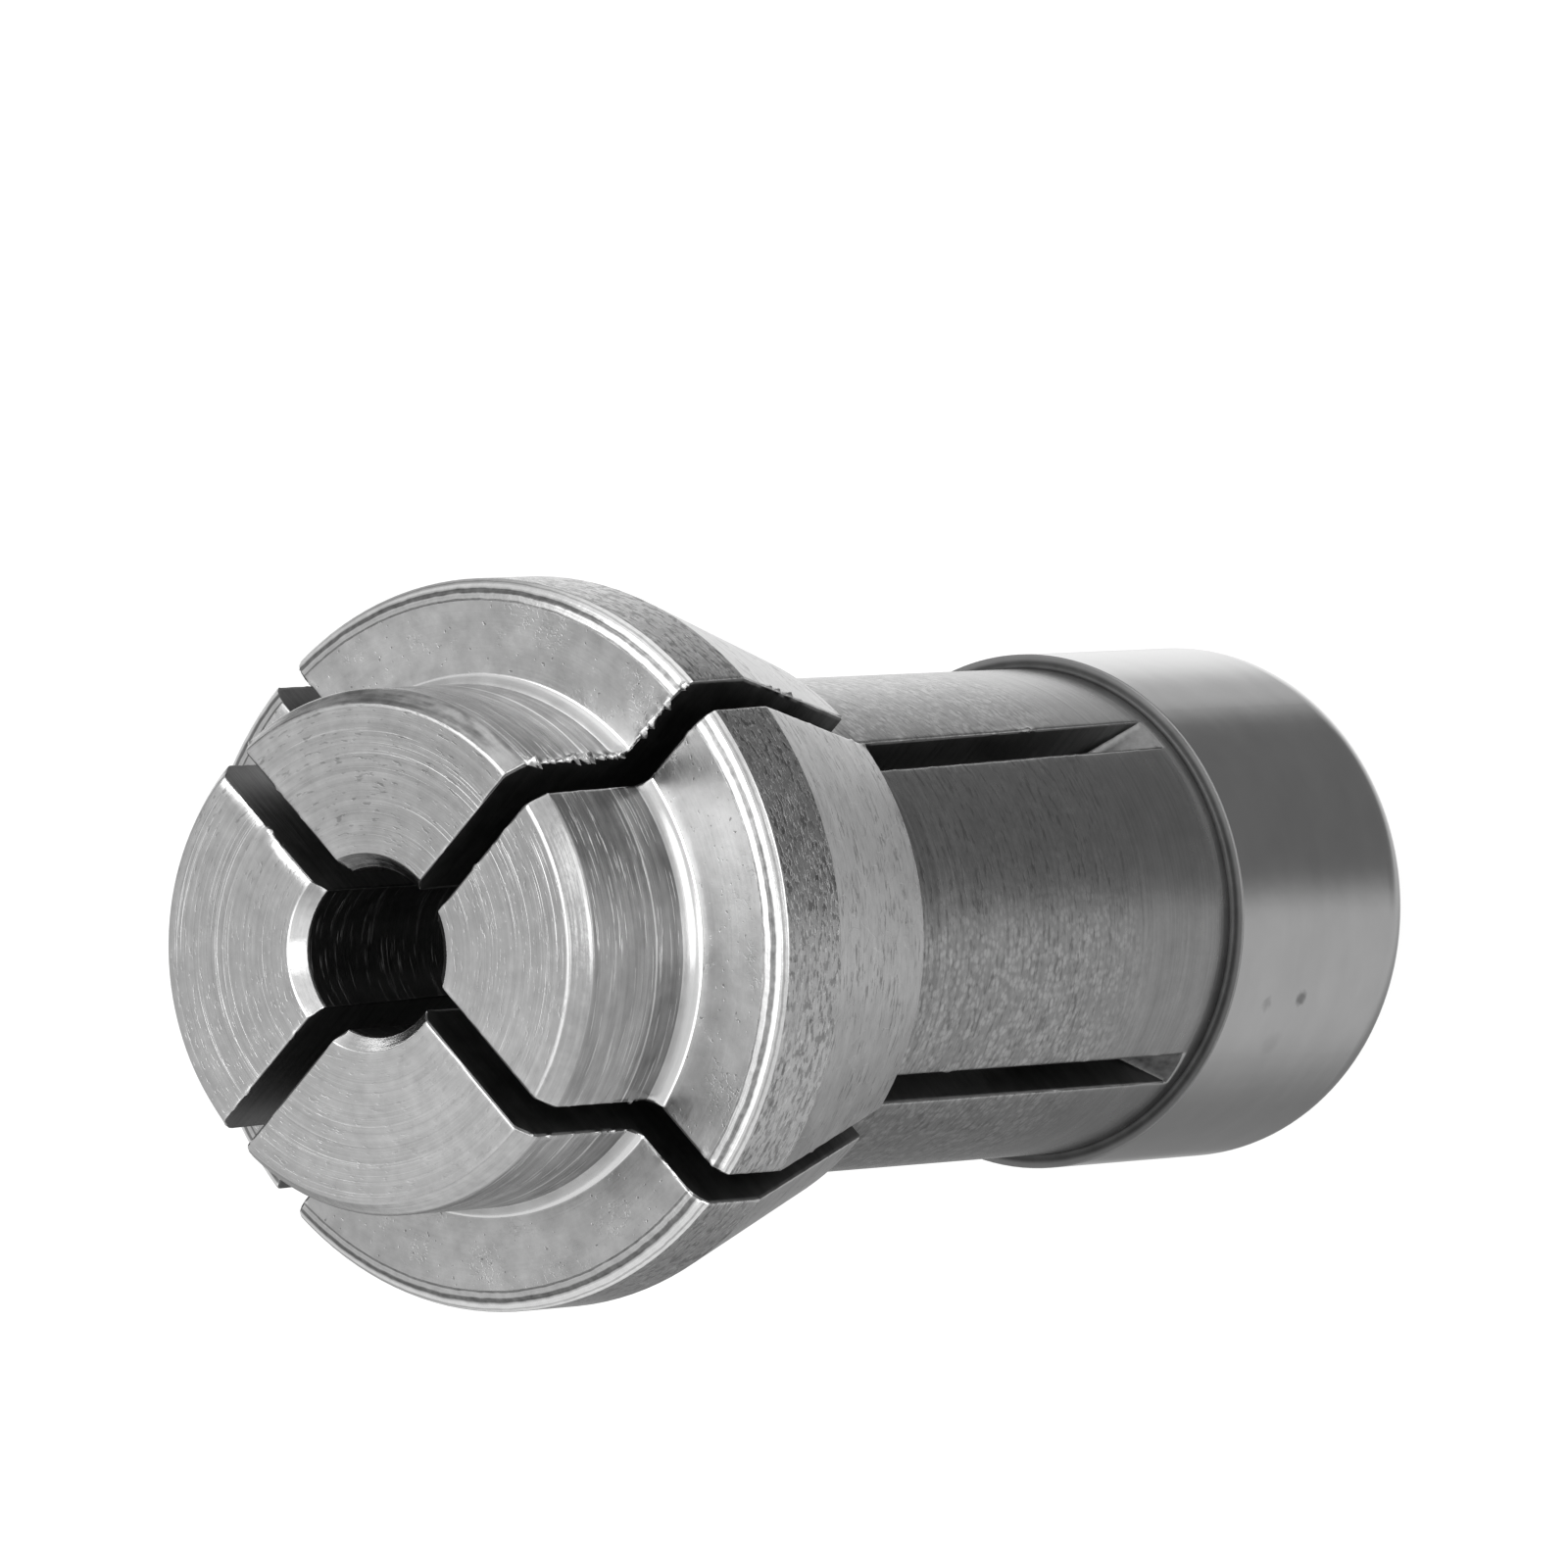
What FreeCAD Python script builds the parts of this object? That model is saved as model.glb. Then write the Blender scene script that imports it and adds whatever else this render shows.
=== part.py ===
# Die grinder collet, 3 mm grip: one turned, bored and slit piece of spring steel.
# Own frame: +Z is the collet's axis, nose up; z = 0 is the flat rear end it stands on. Millimetres.
# The slits run along X and Y, so the four jaws sit on the diagonals.
import FreeCAD, Part
import math
import os
import Sketcher

doc = FreeCAD.newDocument("DieGrinderCollet")

# ---------------------------------------------------------------- driving dimensions
DIMS = [
    ("overall_len", 26.55, "rear end to nose face"),
    ("nose_dia", 9.30, "cylinder in front of the head"),
    ("nose_face_dia", 8.80, "flat front face, inside its bevel"),
    ("nose_bevel_len", 0.385, "bevel of the nose, along the axis"),
    ("nose_len", 3.4, "nose face to the head's front face"),
    ("nose_root_rad", 0.18, "fillet between nose and head face"),
    ("head_dia", 13.04, "cylindrical land, the widest place"),
    ("head_face_dia", 12.25, "flat of the head's front face"),
    ("head_edge_len", 0.25, "turned edge between face and land, along the axis"),
    ("land_end", 5.22, "nose face to the end of the land"),
    ("taper_end", 9.6, "nose face to the taper's rear lip"),
    ("taper_end_dia", 10.48, "diameter at the lip"),
    ("body_dia", 9.00, "slit body between lip and collar"),
    ("lip_root_rad", 0.15, "fillet under the lip"),
    ("collar_start", 20.48, "nose face to the collar's shoulder"),
    ("collar_dia", 9.53, "ground guide collar"),
    ("collar_root_rad", 0.12, "fillet in front of the collar"),
    ("collar_edge_rad", 0.11, "soft front edge of the collar"),
    ("rear_round_rad", 1.20, "rounded rear rim"),
    ("grip_dia", 3.00, "bore that grips the shank"),
    ("grip_len", 12.00, "length of the grip bore from the nose face"),
    ("grip_bevel", 0.25, "bevel at the mouth of the grip bore"),
    ("relief_dia", 5.60, "relief bore from the rear end"),
    ("relief_bevel", 0.20, "bevel at the mouth of the relief bore"),
    ("drill_point_ang", 118.0, "drill point at the end of the relief bore"),
    ("slit_width", 0.65, "saw cut"),
    ("slit_end", 20.1, "nose face to the slit's end on the body's surface"),
    ("saw_rad", 20.0, "radius of the slitting saw that leaves the run-out"),
    ("slit_x_off", 0.38, "how far the X cut passes beside the axis, towards +Y"),
    ("slit_x_skew", 0.0, "degrees by which the X cut leans across the axis"),
    ("slit_x_twist", 0.55, "degrees by which the X cut is turned about the axis"),
    ("slit_y_off", 0.235, "how far the Y cut passes beside the axis at the nose, towards +X"),
    ("slit_y_skew", 1.34, "degrees by which the Y cut leans across the axis"),
    ("slit_y_twist", -0.92, "degrees by which the Y cut is turned about the axis"),
]
sheet = doc.addObject("Spreadsheet::Sheet", "Dimensions")
for row, (name, value, note) in enumerate(DIMS, start=1):
    sheet.set("A%d" % row, name)
    sheet.set("B%d" % row, "%g" % value)
    sheet.set("C%d" % row, note)
    sheet.setAlias("B%d" % row, name)
doc.recompute()
V = {name: value for name, value, note in DIMS}
S = "Dimensions."

body = doc.addObject("PartDesign::Body", "collet")
body.Label = "collet"
planes = {o.Role: o for o in body.Origin.OriginFeatures}


def vec(x, y):
    return FreeCAD.Vector(x, y, 0)


def polygon(sketch, points):
    """Closed polyline. points: (x, y, x_expression, y_expression). Each corner is placed from the sketch origin
    by named distances that follow the sheet."""
    n = len(points)
    first = sketch.GeometryCount
    for i in range(n):
        a, b = points[i], points[(i + 1) % n]
        sketch.addGeometry(Part.LineSegment(vec(a[0], a[1]), vec(b[0], b[1])), False)
    for i in range(n):
        sketch.addConstraint(Sketcher.Constraint("Coincident", first + (i - 1) % n, 2, first + i, 1))
    for i, (x, y, ex, ey) in enumerate(points):
        place(sketch, first + i, 1, x, y, ex, ey)


def place(sketch, geo, pos, x, y, ex, ey):
    """Hold one point at (x, y). An expression of None puts the point on that axis."""
    if ex is None:
        sketch.addConstraint(Sketcher.Constraint("PointOnObject", geo, pos, -2))
    else:
        c = sketch.addConstraint(Sketcher.Constraint("DistanceX", -1, 1, geo, pos, x))
        sketch.setExpression("Constraints[%d]" % c, ex)
    if ey is None:
        sketch.addConstraint(Sketcher.Constraint("PointOnObject", geo, pos, -1))
    else:
        c = sketch.addConstraint(Sketcher.Constraint("DistanceY", -1, 1, geo, pos, y))
        sketch.setExpression("Constraints[%d]" % c, ey)


def new_sketch(name, role):
    sk = body.newObject("Sketcher::SketchObject", name)
    sk.AttachmentSupport = (planes[role], [""])
    sk.MapMode = "FlatFace"
    return sk


# ---------------------------------------------------------------- turned outside
# x is the radius, y the height above the rear end. Corners that are rounded later are sharp here.
L = V["overall_len"]
sk = new_sketch("TurnedProfile", "XZ_Plane")
head_top = L - V["nose_len"]
edge_r = 0.5 * (V["head_dia"] - V["head_face_dia"])
outer = [
    (0, 0, None, None),
    (V["collar_dia"] / 2, 0, S + "collar_dia / 2", None),
    (V["collar_dia"] / 2, L - V["collar_start"], S + "collar_dia / 2", S + "overall_len - " + S + "collar_start"),
    (V["body_dia"] / 2, L - V["collar_start"], S + "body_dia / 2", S + "overall_len - " + S + "collar_start"),
    (V["body_dia"] / 2, L - V["taper_end"], S + "body_dia / 2", S + "overall_len - " + S + "taper_end"),
    (V["taper_end_dia"] / 2, L - V["taper_end"], S + "taper_end_dia / 2", S + "overall_len - " + S + "taper_end"),
    (V["head_dia"] / 2, L - V["land_end"], S + "head_dia / 2", S + "overall_len - " + S + "land_end"),
    (V["head_dia"] / 2, head_top - V["head_edge_len"], S + "head_dia / 2",
     S + "overall_len - " + S + "nose_len - " + S + "head_edge_len"),
    # the head's edge is turned in three narrow facets
    (V["head_dia"] / 2 - 0.23 * edge_r, head_top - 0.51 * V["head_edge_len"],
     S + "head_dia / 2 - 0.115 * (" + S + "head_dia - " + S + "head_face_dia)",
     S + "overall_len - " + S + "nose_len - 0.51 * " + S + "head_edge_len"),
    (V["head_dia"] / 2 - 0.61 * edge_r, head_top - 0.15 * V["head_edge_len"],
     S + "head_dia / 2 - 0.305 * (" + S + "head_dia - " + S + "head_face_dia)",
     S + "overall_len - " + S + "nose_len - 0.15 * " + S + "head_edge_len"),
    (V["head_face_dia"] / 2, head_top, S + "head_face_dia / 2", S + "overall_len - " + S + "nose_len"),
    (V["nose_dia"] / 2, head_top, S + "nose_dia / 2", S + "overall_len - " + S + "nose_len"),
    (V["nose_dia"] / 2, L - V["nose_bevel_len"], S + "nose_dia / 2", S + "overall_len - " + S + "nose_bevel_len"),
    (V["nose_face_dia"] / 2, L, S + "nose_face_dia / 2", S + "overall_len"),
    (0, L, None, S + "overall_len"),
]
polygon(sk, outer)
turned = body.newObject("PartDesign::Revolution", "Turned")
turned.Profile = sk
turned.ReferenceAxis = (sk, ["V_Axis"])
turned.Angle = 360
sk.Visibility = False
doc.recompute()


# ---------------------------------------------------------------- rounded corners, found as circles on the axis
def ring(feature, radius, height):
    """Name of the circular edge of this radius at this height."""
    hits = []
    for i, e in enumerate(feature.Shape.Edges, start=1):
        c = e.Curve
        if isinstance(c, Part.Circle) and abs(c.Radius - radius) < 1e-4 and abs(c.Center.z - height) < 1e-4:
            hits.append("Edge%d" % i)
    if len(hits) != 1:
        raise RuntimeError("ring r=%g z=%g: %d edges" % (radius, height, len(hits)))
    return hits


def fillet(name, base, radius, height, alias):
    f = body.newObject("PartDesign::Fillet", name)
    f.Base = (base, ring(base, radius, height))
    f.setExpression("Radius", S + alias)
    doc.recompute()
    return f


feature = fillet("NoseRoot", turned, V["nose_dia"] / 2, head_top, "nose_root_rad")
feature = fillet("LipRoot", feature, V["body_dia"] / 2, L - V["taper_end"], "lip_root_rad")
feature = fillet("CollarRoot", feature, V["body_dia"] / 2, L - V["collar_start"], "collar_root_rad")
feature = fillet("CollarEdge", feature, V["collar_dia"] / 2, L - V["collar_start"], "collar_edge_rad")
feature = fillet("RearRound", feature, V["collar_dia"] / 2, 0.0, "rear_round_rad")
outside_volume = feature.Shape.Volume

# ---------------------------------------------------------------- bores: grip from the nose, relief from the rear
sk = new_sketch("BoreProfile", "XZ_Plane")
grip_end = L - V["grip_len"]
point_len = 0.5 * (V["relief_dia"] - V["grip_dia"]) / math.tan(math.radians(V["drill_point_ang"] / 2))
G, R = V["grip_dia"] / 2, V["relief_dia"] / 2
point_expr = ("(" + S + "relief_dia - " + S + "grip_dia) / 2 / tan(" + S + "drill_point_ang / 2 * 1 deg)")
bores = [
    (0, 0, None, None),
    (R + V["relief_bevel"], 0, S + "relief_dia / 2 + " + S + "relief_bevel", None),
    (R, V["relief_bevel"], S + "relief_dia / 2", S + "relief_bevel"),
    (R, grip_end - point_len, S + "relief_dia / 2", S + "overall_len - " + S + "grip_len - " + point_expr),
    (G, grip_end, S + "grip_dia / 2", S + "overall_len - " + S + "grip_len"),
    (G, L - V["grip_bevel"], S + "grip_dia / 2", S + "overall_len - " + S + "grip_bevel"),
    (G + V["grip_bevel"], L, S + "grip_dia / 2 + " + S + "grip_bevel", S + "overall_len"),
    (0, L, None, S + "overall_len"),
]
polygon(sk, bores)
bored = body.newObject("PartDesign::Groove", "Bored")
bored.Profile = sk
bored.ReferenceAxis = (sk, ["V_Axis"])
bored.Angle = 360
sk.Visibility = False
doc.recompute()
bored_volume = bored.Shape.Volume


# ---------------------------------------------------------------- slits
# Each cut is sawn from outside, nose to collar, down to the axis. The saw's own radius is left at the rear end of
# the cut: an arc whose lowest point lies on the axis. Two cuts share a plane, one on each side of the axis.
# The saw passed a little beside the axis and not quite square to it, as on the real piece.
def slit(name, role, offset, skew, twist):
    rb, rs = V["body_dia"] / 2, V["saw_rad"]
    reach = math.sqrt(rs ** 2 - (rs - rb) ** 2)
    end = L - V["slit_end"]                 # height where the arc meets the body's surface
    low = end + reach                       # height of the arc's lowest point, on the axis
    far = 7.5                               # outside the head
    top = L + 1.0
    far_h = low - math.sqrt(rs ** 2 - (rs - far) ** 2)
    reach_expr = ("sqrt(pow(" + S + "saw_rad; 2) - pow(" + S + "saw_rad - " + S + "body_dia / 2; 2))")
    low_expr = S + "overall_len - " + S + "slit_end + " + reach_expr
    sk = new_sketch(name + "Profile", role)
    for side in (1, -1):
        g = sk.GeometryCount
        centre = vec(side * rs, low)
        a_low = math.atan2(0.0, -side * rs)
        a_far = math.atan2(far_h - low, side * (far - rs))
        if side > 0:
            a0, a1 = math.pi, a_far % (2 * math.pi)
        else:
            a0, a1 = a_far % (2 * math.pi), 2 * math.pi
        sk.addGeometry(Part.ArcOfCircle(Part.Circle(centre, FreeCAD.Vector(0, 0, 1), rs), a0, a1), False)
        low_pos, far_pos = (1, 2) if side > 0 else (2, 1)
        sk.addGeometry(Part.LineSegment(vec(side * far, far_h), vec(side * far, top)), False)
        sk.addGeometry(Part.LineSegment(vec(side * far, top), vec(0, top)), False)
        sk.addGeometry(Part.LineSegment(vec(0, top), vec(0, low)), False)
        add = sk.addConstraint
        add(Sketcher.Constraint("Coincident", g, far_pos, g + 1, 1))
        add(Sketcher.Constraint("Coincident", g + 1, 2, g + 2, 1))
        add(Sketcher.Constraint("Coincident", g + 2, 2, g + 3, 1))
        add(Sketcher.Constraint("Coincident", g + 3, 2, g, low_pos))
        add(Sketcher.Constraint("Vertical", g + 1))
        add(Sketcher.Constraint("Horizontal", g + 2))
        add(Sketcher.Constraint("PointOnObject", g + 2, 2, -2))
        add(Sketcher.Constraint("PointOnObject", g + 3, 2, -2))
        c = add(Sketcher.Constraint("Radius", g, rs))
        sk.setExpression("Constraints[%d]" % c, S + "saw_rad")
        c = add(Sketcher.Constraint("DistanceY", -1, 1, g, 3, low))
        sk.setExpression("Constraints[%d]" % c, low_expr)
        c = add(Sketcher.Constraint("DistanceY", -1, 1, g, low_pos, low))
        sk.setExpression("Constraints[%d]" % c, low_expr)
        c = add(Sketcher.Constraint("DistanceY", -1, 1, g + 1, 2, top))
        sk.setExpression("Constraints[%d]" % c, S + "overall_len + 1")
        if side > 0:
            add(Sketcher.Constraint("DistanceX", -1, 1, g + 1, 2, far))
        else:
            add(Sketcher.Constraint("DistanceX", g + 1, 2, -1, 1, far))
    lean = (V[skew] ** 2 + V[twist] ** 2) ** 0.5
    sk.AttachmentOffset = FreeCAD.Placement(FreeCAD.Vector(0, 0, 0), FreeCAD.Rotation(FreeCAD.Vector(V[skew], V[twist], 0), lean))
    sk.setExpression("AttachmentOffset.Rotation.Angle", "sqrt(%s^2 + %s^2)" % (S + skew, S + twist))
    offset += " - " + S + "overall_len * tan(" + S + skew + " * 1 deg)"
    sk.setExpression("AttachmentOffset.Base.z", offset)
    doc.recompute()
    cut = body.newObject("PartDesign::Pocket", name)
    cut.Profile = sk
    cut.Type = 0
    cut.Midplane = True
    cut.setExpression("Length", S + "slit_width")
    sk.Visibility = False
    doc.recompute()
    return cut


cut_x = slit("SlitsAlongX", "XZ_Plane", "-1 * " + S + "slit_x_off", "slit_x_skew", "slit_x_twist")
cut_y = slit("SlitsAlongY", "YZ_Plane", S + "slit_y_off", "slit_y_skew", "slit_y_twist")
body.Tip = cut_y
doc.recompute()

# ---------------------------------------------------------------- tests
for o in doc.Objects:
    bad = [s for s in o.State if s in ("Invalid", "Error")]
    if bad:
        raise RuntimeError("%s is %s" % (o.Name, bad))
shape = body.Shape
if shape.isNull() or not shape.isValid() or len(shape.Solids) != 1:
    raise RuntimeError("the collet is not one valid solid")
for before, after, what in ((outside_volume, bored_volume, "bores"), (bored_volume, cut_x.Shape.Volume, "X slits"),
                            (cut_x.Shape.Volume, cut_y.Shape.Volume, "Y slits")):
    if after > before - 1.0:
        raise RuntimeError("%s cut nothing" % what)
for sketch in doc.findObjects("Sketcher::SketchObject"):
    if sketch.solve() != 0:
        raise RuntimeError("%s does not solve" % sketch.Name)

os.makedirs("parts", exist_ok=True)
shape.exportStep("parts/collet.step")
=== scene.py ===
"""Looks of a slotted steel collet that stands on its rear end, axis up, in the frame of its CAD model (metres)."""

import math

import bmesh
import bpy
import numpy as np
from mathutils import Matrix, Vector


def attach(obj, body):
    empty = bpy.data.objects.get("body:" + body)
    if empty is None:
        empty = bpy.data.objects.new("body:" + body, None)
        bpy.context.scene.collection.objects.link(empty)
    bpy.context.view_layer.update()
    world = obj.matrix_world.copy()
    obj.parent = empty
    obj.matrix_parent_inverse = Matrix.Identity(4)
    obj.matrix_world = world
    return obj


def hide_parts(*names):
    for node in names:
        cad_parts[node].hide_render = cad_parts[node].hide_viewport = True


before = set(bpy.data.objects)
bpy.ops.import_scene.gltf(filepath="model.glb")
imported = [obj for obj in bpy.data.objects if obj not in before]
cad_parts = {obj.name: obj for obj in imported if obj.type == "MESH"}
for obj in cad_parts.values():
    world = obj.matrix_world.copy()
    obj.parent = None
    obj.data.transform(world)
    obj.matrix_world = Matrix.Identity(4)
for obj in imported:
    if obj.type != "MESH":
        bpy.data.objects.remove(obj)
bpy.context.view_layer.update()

MM = 0.001
rng = np.random.default_rng(41)

# ------------------------------------------------------------------ the turned profile, in millimetres
LENGTH = 26.55
HEAD_Z = LENGTH - 3.40          # front face of the head
LAND_Z = LENGTH - 5.22          # rear end of the head's cylindrical land
LIP_Z = LENGTH - 9.60           # rear end of the taper
SLIT_Z = LENGTH - 20.10         # end of the slits on the body
COLLAR_Z = LENGTH - 20.48       # front shoulder of the collar
GRIP_R, RELIEF_R = 1.50, 2.80
GRIP_Z = LENGTH - 12.0
CONE_Z = GRIP_Z - (RELIEF_R - GRIP_R) / math.tan(math.radians(59))
SLIT_W = 0.65
SAW_R = 20.0
X_OFF, X_TWIST = 0.38, math.radians(0.55)
Y_OFF, Y_TWIST, Y_LEAN = 0.235, math.radians(0.92), math.radians(1.34)

(MOUTH, NOSE_FACE, NOSE_BEVEL, NECK, HEAD_FACE, HEAD_EDGE, LAND, TAPER, LIP, BODY, SHOULDER, COLLAR, REAR,
 REAR_BEVEL, RELIEF, CONE, GRIP, WALL, FLOOR, ROOTED) = range(20)

# radius, height, corner radius, pieces of the corner's arc, spacing on the run after it, zone of that run
ROOT = [(4.65, HEAD_Z + 0.34), (4.668, HEAD_Z + 0.27), (4.698, HEAD_Z + 0.19), (4.738, HEAD_Z + 0.11), (4.784, HEAD_Z + 0.035),
        (4.83, HEAD_Z)]
JAW_PROFILE = [
    (GRIP_R, LENGTH - 0.25, 0.0, 0, 0.05, MOUTH),
    (GRIP_R + 0.25, LENGTH, 0.06, 3, 0.105, NOSE_FACE),
    (4.40, LENGTH, 0.11, 4, 0.075, NOSE_BEVEL),
    (4.65, LENGTH - 0.385, 0.25, 5, 0.058, NECK),
    *[(r, z, 0.0, 0, 0.2, ROOTED) for r, z in ROOT[:-1]],
    (*ROOT[-1], 0.0, 0, 0.085, HEAD_FACE),
    (6.125, HEAD_Z, 0.05, 3, 0.05, HEAD_EDGE),
    (6.279, HEAD_Z - 0.0375, 0.04, 2, 0.06, HEAD_EDGE),
    (6.429, HEAD_Z - 0.1275, 0.04, 2, 0.06, HEAD_EDGE),
    (6.52, HEAD_Z - 0.25, 0.07, 4, 0.11, LAND),
    (6.52, LAND_Z, 0.10, 3, 0.125, TAPER),
    (5.24, LIP_Z, 0.035, 4, 0.10, LIP),
    (4.50, LIP_Z, 0.15, 5, 0.17, BODY),
    (4.50, SLIT_Z, 0.0, 0, 0.2, BODY),
]
REAR_PROFILE = [
    (4.50, SLIT_Z, 0.0, 0, 0.09, BODY),
    (4.50, COLLAR_Z, 0.07, 4, 0.04, SHOULDER),
    (4.765, COLLAR_Z, 0.022, 3, 0.24, COLLAR),
    (4.765, 0.0, 1.20, 14, 0.12, REAR),
    (3.0, 0.0, 0.02, 2, 0.12, REAR_BEVEL),
    (RELIEF_R, 0.2, 0.02, 2, 0.55, RELIEF),
    (RELIEF_R, 8.0, 0.0, 0, 0.5, RELIEF),
]


def graded(length, step):
    """Distances along a run, closer together at both of its ends."""
    if length < 4 * step:
        n = max(1, round(length / step))
        return np.linspace(0, length, n + 1)[1:]
    near = np.array([0.025, 0.07]) if step > 0.06 else np.array([0.02])
    inner = length - 2 * near[-1]
    n = max(1, math.ceil(inner / step))
    return np.concatenate([near, near[-1] + inner * np.arange(1, n) / n, length - near[::-1], [length]])


def rows_of(points):
    """Rows (r, z) along the profile with its corners rounded, and the zone of each interval between rows."""
    at = [np.array(p[:2], float) for p in points]
    rows, zones, here = [at[0]], [], at[0]
    for i in range(1, len(at)):
        along = at[i] - at[i - 1]
        along /= np.linalg.norm(along)
        end, arc, after = at[i], [], at[i]
        if i < len(at) - 1 and points[i][2] > 0:
            leave = at[i + 1] - at[i]
            leave /= np.linalg.norm(leave)
            cross = along[0] * leave[1] - along[1] * leave[0]
            turn = math.atan2(abs(cross), float(along @ leave))
            reach = points[i][2] * math.tan(turn / 2)
            side = np.array([-along[1], along[0]]) * (1 if cross > 0 else -1)
            end, after = at[i] - along * reach, at[i] + leave * reach
            centre = end + side * points[i][2]
            for k in range(1, points[i][3] + 1):
                a = turn * k / points[i][3]
                arc.append(centre + points[i][2] * (-side * math.cos(a) + along * math.sin(a)))
        run = float(np.linalg.norm(end - here))
        for dist in graded(run, points[i - 1][4]):
            rows.append(here + along * dist)
            zones.append(points[i - 1][5])
        for k, p in enumerate(arc):
            rows.append(p)
            beside_step = SHOULDER in (points[i - 1][5], points[i][5])
            zones.append(SHOULDER if beside_step else points[i - 1][5] if k < len(arc) / 2 else points[i][5])
        here = after
    return np.array(rows), np.array(zones)


def row_normals(rows):
    step = np.diff(rows, axis=0)
    step /= np.linalg.norm(step, axis=1)[:, None]
    n = np.stack([-step[:, 1], step[:, 0]], 1)
    n = np.concatenate([n[:1], n[:-1] + n[1:], n[-1:]])
    return n / np.linalg.norm(n, axis=1)[:, None]


def lean_of(z):
    return Y_OFF - (LENGTH - z) * math.tan(Y_LEAN)


def jaw_limits(r, z):
    """Start and end angle of the four jaws on a circle of radius r at height z, and how far each edge lies beside the axis."""
    h, c = SLIT_W / 2, lean_of(z)
    ox, oy = X_OFF * math.cos(X_TWIST), c * math.cos(Y_TWIST)
    east = lambda k: X_TWIST + np.arcsin((k + ox) / r)
    west = lambda k: X_TWIST + math.pi - np.arcsin((k + ox) / r)
    north = lambda k: -Y_TWIST + np.arccos((k + oy) / r)
    south = lambda k: 2 * math.pi - Y_TWIST - np.arccos((k + oy) / r)
    starts = [east(h), north(-h), west(-h), south(h)]
    ends = [north(h), west(h), south(-h), east(-h) + 2 * math.pi]
    beside = [(ox + h, oy + h), (oy - h, ox + h), (ox - h, oy - h), (oy + h, ox - h)]
    return starts, ends, beside


NEAR_EDGE = np.array([0.0, 0.018, 0.042, 0.075, 0.13, 0.21, 0.33])
MIDDLE = 30
COLS = 2 * len(NEAR_EDGE) + MIDDLE
GAP = 4


def columns(a0, a1, r):
    """Angles of a jaw's columns for each row, and each column's distance along the arc from the nearer slit edge."""
    arc = r * (a1 - a0)
    near = NEAR_EDGE[None] * np.minimum(1, arc / 2.0)[:, None]
    mid = np.linspace(0, 1, MIDDLE + 2)[None, 1:-1]
    lo, hi = near[:, -1:], arc[:, None] - near[:, -1:]
    at = np.concatenate([near, lo + (hi - lo) * mid, (arc[:, None] - near)[:, ::-1]], 1)
    return a0[:, None] + at / r[:, None], np.minimum(at, arc[:, None] - at)


def saw_z(s):
    """Height of the slit's floor at the distance s from the axis along the cut."""
    low = SLIT_Z + math.sqrt(SAW_R ** 2 - (SAW_R - 4.5) ** 2)
    return low - np.sqrt(SAW_R ** 2 - (SAW_R - s) ** 2)


def wander(n_at, scale, seed, octaves=3):
    """Smooth random numbers, about -1 to 1, at the positions n_at, with features of the length scale."""
    gen = np.random.default_rng(seed)
    out = np.zeros(len(n_at))
    for o in range(octaves):
        pos = np.asarray(n_at) / scale * 2 ** o + 17.3 * o
        cells = gen.uniform(-1, 1, int(pos.max()) + 3)
        i = pos.astype(int)
        f = pos - i
        f = f * f * (3 - 2 * f)
        out += (cells[i] * (1 - f) + cells[i + 1] * f) * 0.55 ** o
    return out / 1.6


class Grid:
    """Collects vertices, faces and what is stored with them."""

    def __init__(self):
        self.points, self.count, self.faces, self.zones = [], 0, [], []
        self.s, self.edge, self.rub = [], [], []

    def add(self, p, s, edge, rub=0.0):
        p = np.asarray(p, float).reshape(-1, 3)
        first = self.count
        self.points.append(p)
        self.s.append(np.broadcast_to(np.asarray(s, float).ravel(), len(p)) if np.size(s) == 1 else np.asarray(s, float).ravel())
        self.edge.append(np.broadcast_to(np.asarray(edge, float).ravel(), len(p)) if np.size(edge) == 1 else np.asarray(edge, float).ravel())
        self.rub.append(np.broadcast_to(np.asarray(rub, float).ravel(), len(p)) if np.size(rub) == 1 else np.asarray(rub, float).ravel())
        self.count += len(p)
        return np.arange(first, self.count)

    def face(self, corners, zone):
        out = [corners[0]]
        for c in corners[1:]:
            if c != out[-1]:
                out.append(c)
        if out[0] == out[-1]:
            out.pop()
        if len(out) > 2:
            self.faces.append([int(c) for c in out])
            self.zones.append(int(zone))

    def sheet(self, idx, zones):
        """Faces of a grid of vertex numbers; zones is one per row interval."""
        for j in range(idx.shape[0] - 1):
            a, b = idx[j], idx[j + 1]
            for k in range(idx.shape[1] - 1):
                self.face((a[k], a[k + 1], b[k + 1], b[k]), zones[j])


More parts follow.
